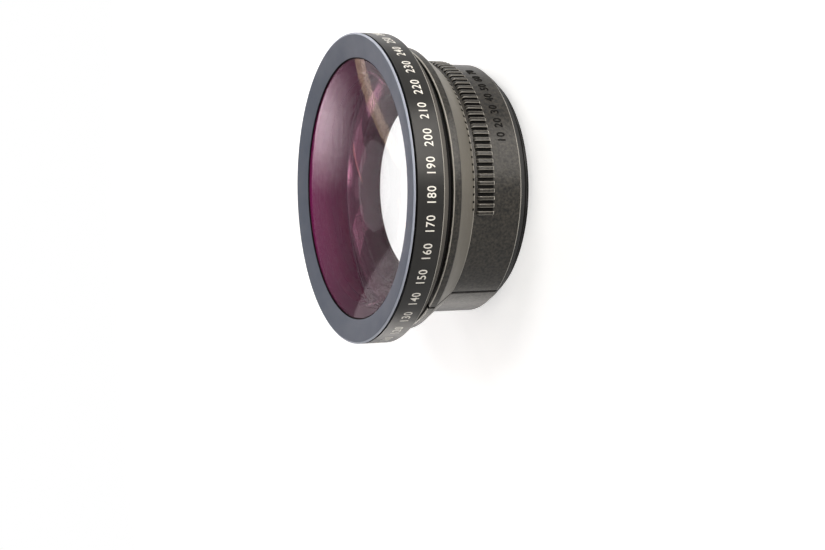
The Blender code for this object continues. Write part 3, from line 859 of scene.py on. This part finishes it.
def half_turned_mesh(name, profile, side):
    """A profile turned through half a turn, less the seam's width at each end."""
    base = SEAM_ANGLE + (0.0 if side > 0 else math.pi)
    count = SEGMENTS // 2
    shape = bmesh.new()
    columns = []
    for step in range(count + 1):
        column = []
        for radius, depth in profile:
            inset = math.asin(SEAM_WIDTH / 2 / radius)
            angle = base + inset + (math.pi - 2 * inset) * step / count
            height = (FACE_HEIGHT - depth) * MM
            place = (radius * math.cos(angle) * MM, radius * math.sin(angle) * MM, height)
            column.append(shape.verts.new(place))
        columns.append(column)
    size = len(profile)
    for first, second in zip(columns, columns[1:]):
        for index in range(size):
            after = (index + 1) % size
            shape.faces.new((first[index], first[after], second[after], second[index]))
    # The seam's cut faces get painted shade.
    shape.faces.new(list(reversed(columns[0]))).material_index = PAINTED_SHADE
    shape.faces.new(columns[-1]).material_index = PAINTED_SHADE
    bmesh.ops.recalc_face_normals(shape, faces=shape.faces)
    mesh = bpy.data.meshes.new(name)
    shape.to_mesh(mesh)
    shape.free()
    return mesh


def rib_shape():
    """One rib: a bar along the axis with a rounded front end and soft edges."""
    height = 0.78
    root = -0.35
    length = 4.4
    half_width = 0.5
    nose = 0.7
    outline = [(0.0, root)]
    for step in range(7):
        turn = math.pi / 2 * step / 6
        outline.append((nose * (1 - math.cos(turn)), height * math.sin(turn)))
    outline += [(4.05, height), (length, 0.45), (length, root)]
    shape = bmesh.new()
    sides = []
    for across in (-half_width, half_width):
        sides.append([shape.verts.new((x, y, across)) for x, y in outline])
    shape.faces.new(sides[0])
    shape.faces.new(list(reversed(sides[1])))
    for index in range(len(outline)):
        after = (index + 1) % len(outline)
        shape.faces.new((sides[0][index], sides[1][index], sides[1][after], sides[0][after]))
    bmesh.ops.recalc_face_normals(shape, faces=shape.faces)
    top = [edge for edge in shape.edges if abs(edge.verts[0].co.z - edge.verts[1].co.z) < 1e-6]
    top = [edge for edge in top if min(vertex.co.y for vertex in edge.verts) > -0.3]
    bmesh.ops.bevel(shape, geom=top, offset=0.2, segments=3, profile=0.5, affect="EDGES")
    shape.normal_update()
    # The sides get painted shade, the rear end a painted highlight, and the soft edges the cone's lighter
    # paint, a fainter painted highlight.
    for face in shape.faces:
        sideways = abs(face.normal.z)
        if sideways > 0.95:
            face.material_index = PAINTED_SHADE
        elif face.calc_center_median().x > 3.9:
            face.material_index = EDGE_HIGHLIGHT_PAINT
        elif sideways > 0.2:
            face.material_index = SATIN_AND_PAINTED_LIGHT
    mesh = bpy.data.meshes.new("rib")
    shape.to_mesh(mesh)
    shape.free()
    return mesh


def painted_shade_strip(angle, across, points):
    """A closed strip of painted shade let into the wall along the axis, where a gap or groove is dark. points
    holds the profile of its outer side.
    """
    thickness = 0.3
    places = []
    for radius, depth in points:
        half = across / 2 / radius
        inner = radius - thickness
        for out, turn in ((radius, -half), (radius, half), (inner, half), (inner, -half)):
            place = (out * math.cos(angle + turn), out * math.sin(angle + turn), FACE_HEIGHT - depth)
            places.append(Vector(place) * MM)
    last = len(places) - 4
    faces = [(0, 1, 2, 3), (last + 3, last + 2, last + 1, last)]
    for first in range(0, last, 4):
        for side in range(4):
            after = (side + 1) % 4
            faces.append((first + side, first + after, first + 4 + after, first + 4 + side))
    mesh = bpy.data.meshes.new("strip")
    mesh.from_pydata(places, [], faces)
    shape = bmesh.new()
    shape.from_mesh(mesh)
    bmesh.ops.recalc_face_normals(shape, faces=shape.faces)
    for face in shape.faces:
        face.material_index = PAINTED_SHADE
    shape.to_mesh(mesh)
    shape.free()
    return mesh


def make_ribs(name, side, paints):
    """The ribs of one half, with a strip of painted shade in the gap and a small notch of painted shade after
    each.
    """
    rib = rib_shape()
    # A rib's own x runs to the mount, and its y runs outwards.
    lay = Matrix(((0, 1, 0, 0), (0, 0, -1, 0), (-1, 0, 0, 0), (0, 0, 0, 1)))
    middle = SEAM_ANGLE + side * RIB_ZONE_OFFSET
    meshes = []
    for count in range(RIBS_PER_HALF):
        angle = middle + RIB_PITCH * (count - (RIBS_PER_HALF - 1) / 2)
        single = rib.copy()
        place = Matrix.Translation((COVER_RADIUS, 0.0, FACE_HEIGHT - RIB_START)) @ lay
        single.transform(Matrix.Scale(MM, 4) @ Matrix.Rotation(angle, 4, "Z") @ place)
        meshes.append(single)
        middle_gap = angle + RIB_PITCH / 2
        meshes.append(painted_shade_strip(middle_gap, GAP_WIDTH, GAP_SIDE))
        meshes.append(painted_shade_strip(middle_gap, NOTCH_WIDTH, NOTCH_SIDE))
    bpy.data.meshes.remove(rib)
    add_piece(name, joined(name, meshes), paints)


def make_cover(side, node, paints):
    """Half of the moulded cover and its ribs. side is 1 for the upper half and -1 for the lower one."""
    profile = [
        (34.3, 11.6),
        (35.4, 11.6),
        (35.7, 11.9),
        (35.7, 13.5),
        (35.4, 13.8),
        (31.9, 18.8),
        (31.6, 19.1),
        (31.6, 31.5),
        (31.3, 31.8),
        (30.0, 31.8),
        (30.0, 19.4),
        (34.3, 13.8),
    ]
    half = "upper" if side > 0 else "lower"
    name = f"cover_{half}"
    mesh = half_turned_mesh(name, rounded(profile, 0.25), side)
    paint_zones(mesh, COVER_ZONES)
    piece = add_piece(name, mesh, paints, [node])
    soften = piece.modifiers.new("seam_edges", "BEVEL")
    soften.width = 0.12 * MM
    soften.segments = 3
    soften.limit_method = "ANGLE"
    soften.angle_limit = math.radians(60.0)
    make_ribs(f"ribs_{half}", side, paints)


def make_seams(paints):
    """A painted shadow at the bottom of the two grooves between the cover's halves."""
    width = SEAM_WIDTH + 0.1
    meshes = [painted_shade_strip(angle, width, SEAM_SIDE) for angle in (SEAM_ANGLE, SEAM_ANGLE + math.pi)]
    add_piece("seam_painted_shade", joined("seam_painted_shade", meshes), paints)


def make_raised_numerals(paint):
    """Plain raised numbers behind the ribs of the upper half."""
    middle = 27.6
    height = 3.0
    lift = 0.1
    first = 20.0
    spacing = 7.2
    meshes = []
    for count in range(7):
        number = str(10 * (count + 1))
        azimuth = math.radians(first + spacing * count)
        meshes.append(wrapped_text(f"raised_{number}", number, azimuth, COVER_RADIUS, middle, height, lift))
    add_piece("raised_numerals", joined("raised_numerals", meshes), paint)


def dress_screws(steel):
    """Steel for the screws, whose solids are kept as they are."""
    for name, node in nodes.items():
        if "screw" in name:
            node.data.materials.clear()
            node.data.materials.append(steel)


set_camera()
set_world(AMBIENT)
add_floor()
# What the front glass mirrors: a bright strip, two panels, a stand at the edge of one, and a round lamp.
add_lamp("strip_left", 171.0, 11.0, NEAR, (160.0, 400.0), 8.8, (0.5, 0.5), tint=(1.0, 0.9, 0.94))
add_lamp("panel_a", 158.0, 28.3, NEAR, PANEL_SIZE, 3.3, PANEL_SOFT, -25.6, (1.0, 0.94, 0.95))
add_lamp("panel_b", 196.1, 27.0, NEAR, PANEL_SIZE, 3.1, PANEL_SOFT, 13.4, (1.0, 0.9, 0.93))
add_lamp("stand", 165.5, 28.3, 600.0, (24.0, 330.0), 5.6, (0.1, 0.1), -25.6, (1.0, 0.74, 0.45))
add_round_lamp("disc", 177.0, 32.5, NEAR, 110.0, 1.9)
# What lights the walls.
add_lamp("key", 28.0, 4.0, NEAR, (740.0, 140.0), 40.0, tint=WARM)
add_lamp("side", -118.0, 5.0, NEAR, (440.0, 150.0), 24.0, tint=WARM)
add_lamp("back", 134.0, 24.0, NEAR, (200.0, 200.0), 11.0)
add_lamp("top", 60.0, 65.0, 700.0, (320.0, 320.0), 6.0)

bezel_paint = finish_material(
    "bezel", (92, 99, 112), (100, 106, 118), (0.58, 0.66), ior=1.22, lines=0.11, spread=0.3
)
# A lighter copy of the bezel's paint: a painted highlight on its chamfer.
bezel_painted_highlight = finish_material("bezel_painted_highlight", (156, 162, 175), (146, 152, 165), (0.4, 0.5), ior=1.4, lines=0.11)
ring_paint = finish_material(
    "ring", (19, 18, 16), (24, 23, 21), (0.38, 0.44), ior=1.42, lines=0.09, spread=1.0
)
satin_paint = finish_material(
    "satin", (62, 60, 57), (68, 66, 62), (0.55, 0.65), ior=1.3, lines=0.09, spread=0.2
)
cover_paint = finish_material(
    "cover",
    (8, 8, 7),
    (50, 47, 42),
    (0.38, 0.44),
    ior=1.42,
    grain=1500.0,
    grain_strength=1.0,
    spread=1.0,
    mottle=1500.0,
)
# A lighter copy of the cover's plastic: painted light on the cone and on the ribs' soft edges.
cone_painted_light = finish_material(
    "cone", (70, 66, 57), (78, 74, 65), (0.42, 0.5), ior=1.8, grain=2200.0, grain_strength=0.3
)
# Near-black paint for painted shade in joints, grooves, gaps, seams and on rib sides; the raised numbers take
# it as their own colour.
shade_and_numeral_black = finish_material("shade_and_numeral_black", (9, 9, 8), (13, 12, 12), (0.7, 0.8), ior=1.2, grain=2600.0)
# Pale paint on rounded edges and rib ends: a painted highlight.
painted_edge_highlight = finish_material(
    "painted_edge_highlight", (150, 147, 140), (132, 129, 122), (0.35, 0.45), grain=2600.0, grain_strength=0.1
)
ring_paints = [ring_paint, satin_paint, shade_and_numeral_black, painted_edge_highlight]
cover_paints = [cover_paint, cone_painted_light, shade_and_numeral_black, painted_edge_highlight]
barrel_paint = finish_material("barrel", (29, 19, 22), (37, 28, 29), (0.42, 0.52), ior=1.25, lines=0.2)
cell_paint = finish_material("cell", (39, 29, 29), (47, 38, 37), (0.4, 0.5), ior=1.25, lines=0.25)
mount_paint = finish_material("mount", (12, 12, 12), (17, 17, 17), (0.4, 0.48), ior=1.45, lines=0.08)
enamel = finish_material(
    "enamel", (206, 204, 197), (192, 190, 184), (0.45, 0.6), grain=4000.0, grain_strength=0.1
)
rubber = finish_material("rubber", (20, 20, 20), (28, 28, 28), (0.6, 0.75), grain=3000.0)
film = finish_material("film", (14, 14, 14), (20, 20, 20), (0.7, 0.85), grain=3000.0)
steel = finish_material("steel", (150, 150, 152), (130, 130, 132), (0.25, 0.35), metallic=1.0, lines=0.05)
oxide = finish_material("oxide", (56, 54, 53), (64, 62, 60), (0.4, 0.5), metallic=1.0, lines=0.05)
# The glass's blackened edge; its wine tint is a painted reflection of the coating.
edge_black_with_painted_reflection = finish_material("edge_black_with_painted_reflection", (36, 22, 27), (42, 27, 32), (0.55, 0.7), ior=1.3)
front_glass = glass("front_glass", 1.55, 0.2, (0.85, 0.01, 0.38), (0.9, 0.4, 0.58), (0.9, 0.85, 0.88))
rear_glass = glass("rear_glass", 1.58, 0.3, (0.5, 0.4, 0.3), (0.9, 0.8, 0.75), (0.9, 0.9, 0.9))

make_bezel(bezel_paint, shade_and_numeral_black, bezel_painted_highlight)
make_name_ring(ring_paints)
make_numerals(enamel)
make_front_element(front_glass, edge_black_with_painted_reflection)
make_rear_group(rear_glass, edge_black_with_painted_reflection)
make_inner_rings(rubber, film, oxide)
make_barrel(barrel_paint)
make_rear_cell(cell_paint)
make_retainer(cell_paint)
make_mount(mount_paint)
make_cover(1, "grip_cover_upper", cover_paints)
make_cover(-1, "grip_cover_lower", cover_paints)
make_seams(cover_paints)
make_raised_numerals(shade_and_numeral_black)
dress_screws(steel)

bpy.context.scene.view_settings.view_transform = "Standard"
# What is seen through and mirrored in the glass comes out cleaner with this pattern of samples.
bpy.context.scene.cycles.sampling_pattern = "TABULATED_SOBOL"
